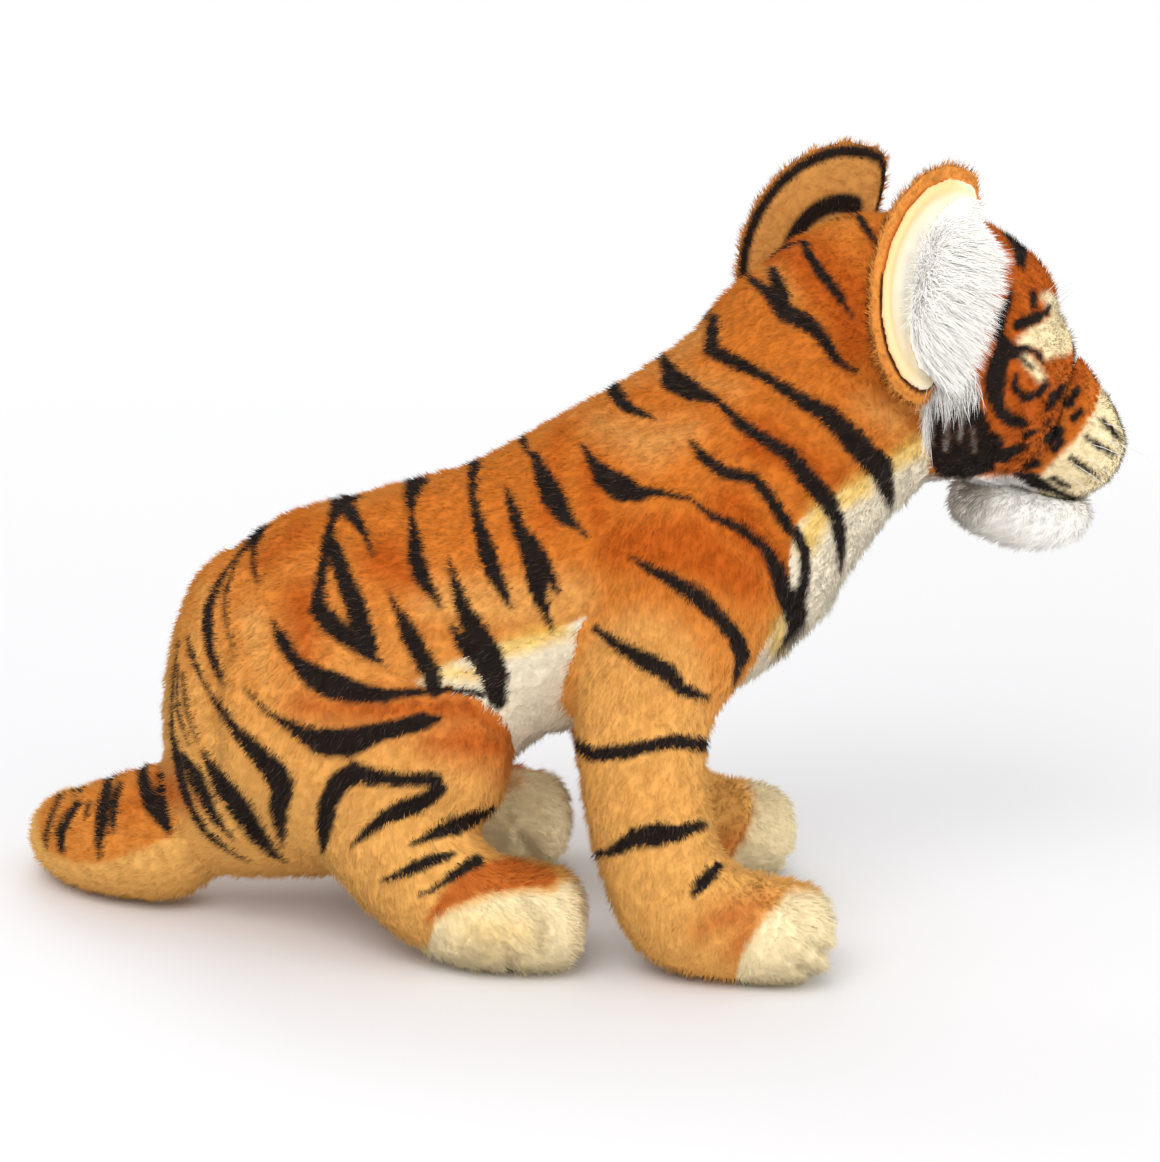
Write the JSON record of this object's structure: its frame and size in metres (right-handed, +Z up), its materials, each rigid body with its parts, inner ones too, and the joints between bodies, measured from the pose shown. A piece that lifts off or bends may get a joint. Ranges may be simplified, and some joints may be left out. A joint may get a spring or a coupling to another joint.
{
  "type": "plush tiger",
  "caption": "Soft toy tiger cub standing on four paws, with a striped fur cover over fibre filling, a turning head, folding ears, swinging front legs and a curled tail.",
  "frame": {"origin": "on the floor under the middle of the toy's box, between the four paws", "axes": "+X towards the nose, +Y to the tiger's left, +Z up"},
  "size_m": [0.51, 0.2104, 0.367],
  "materials": {
    "fur_orange": "short plush pile",
    "fur_tan": "short plush pile",
    "fur_cream": "short plush pile",
    "fur_white": "short plush pile",
    "suede_cream": "napped suede cloth",
    "fibre_filling": "loose polyester fibre",
    "eye_glass": "polished",
    "washer": "moulded",
    "nose_suede": "short flock"
  },
  "bodies": {
    "torso": {"torso_cover": "fur_orange", "belly_panel": "fur_white", "torso_filling": "fibre_filling", "haunch_cover_left": "fur_orange", "haunch_cover_right": "fur_orange", "haunch_filling_left": "fibre_filling", "haunch_filling_right": "fibre_filling", "hind_leg_cover_left": "fur_tan", "hind_leg_cover_right": "fur_tan", "hind_paw_cover_left": "fur_cream", "hind_paw_cover_right": "fur_cream", "hind_leg_filling_left": "fibre_filling", "hind_leg_filling_right": "fibre_filling"},
    "head": {"head_cover": "fur_orange", "head_filling": "fibre_filling", "muzzle_cover": "fur_cream", "muzzle_filling": "fibre_filling", "chin_cover": "fur_white", "chin_filling": "fibre_filling", "nose": "nose_suede", "eye_left": "eye_glass", "eye_right": "eye_glass", "eye_washer_left": "washer", "eye_washer_right": "washer"},
    "ear_left": {"ear_back_left": "fur_orange", "ear_lining_left": "suede_cream", "ear_tuft_left": "fur_white"},
    "ear_right": {"ear_back_right": "fur_orange", "ear_lining_right": "suede_cream", "ear_tuft_right": "fur_white"},
    "front_leg_left": {"front_leg_cover_left": "fur_tan", "front_paw_cover_left": "fur_cream", "front_leg_filling_left": "fibre_filling"},
    "front_leg_right": {"front_leg_cover_right": "fur_tan", "front_paw_cover_right": "fur_cream", "front_leg_filling_right": "fibre_filling"},
    "tail": {"tail_top_panel": "fur_orange", "tail_under_panel": "fur_tan", "tail_filling": "fibre_filling"}
  },
  "joints": [
    {"name": "head_turn", "type": "hinge", "parent": "torso", "child": "head", "pos_m": [0.107, 0, 0.256], "axis": [0, 0, 1], "range_deg": [-40, 8], "stiffness_Nm_per_rad": 0.6},
    {"name": "ear_left_fold", "type": "hinge", "parent": "head", "child": "ear_left", "pos_m": [0.10944, 0.0693, 0.29404], "axis": [0.3348, -0.1564, 0.9292], "range_deg": [-12, 12], "stiffness_Nm_per_rad": 0.05},
    {"name": "ear_right_fold", "type": "hinge", "parent": "head", "child": "ear_right", "pos_m": [0.14579, -0.05747, 0.29404], "axis": [0.2011, 0.3101, 0.9292], "range_deg": [-12, 12], "stiffness_Nm_per_rad": 0.05},
    {"name": "front_leg_left_swing", "type": "hinge", "parent": "torso", "child": "front_leg_left", "pos_m": [0.047, 0.046, 0.178], "axis": [0, -1, 0], "range_deg": [-5, 12], "stiffness_Nm_per_rad": 6},
    {"name": "front_leg_right_swing", "type": "hinge", "parent": "torso", "child": "front_leg_right", "pos_m": [0.047, -0.046, 0.178], "axis": [0, -1, 0], "range_deg": [-5, 12], "stiffness_Nm_per_rad": 6},
    {"name": "tail_swing", "type": "hinge", "parent": "torso", "child": "tail", "pos_m": [-0.18913, 0, 0.0335], "axis": [0, 0, 1], "range_deg": [-18, 18], "stiffness_Nm_per_rad": 0.3}
  ]
}
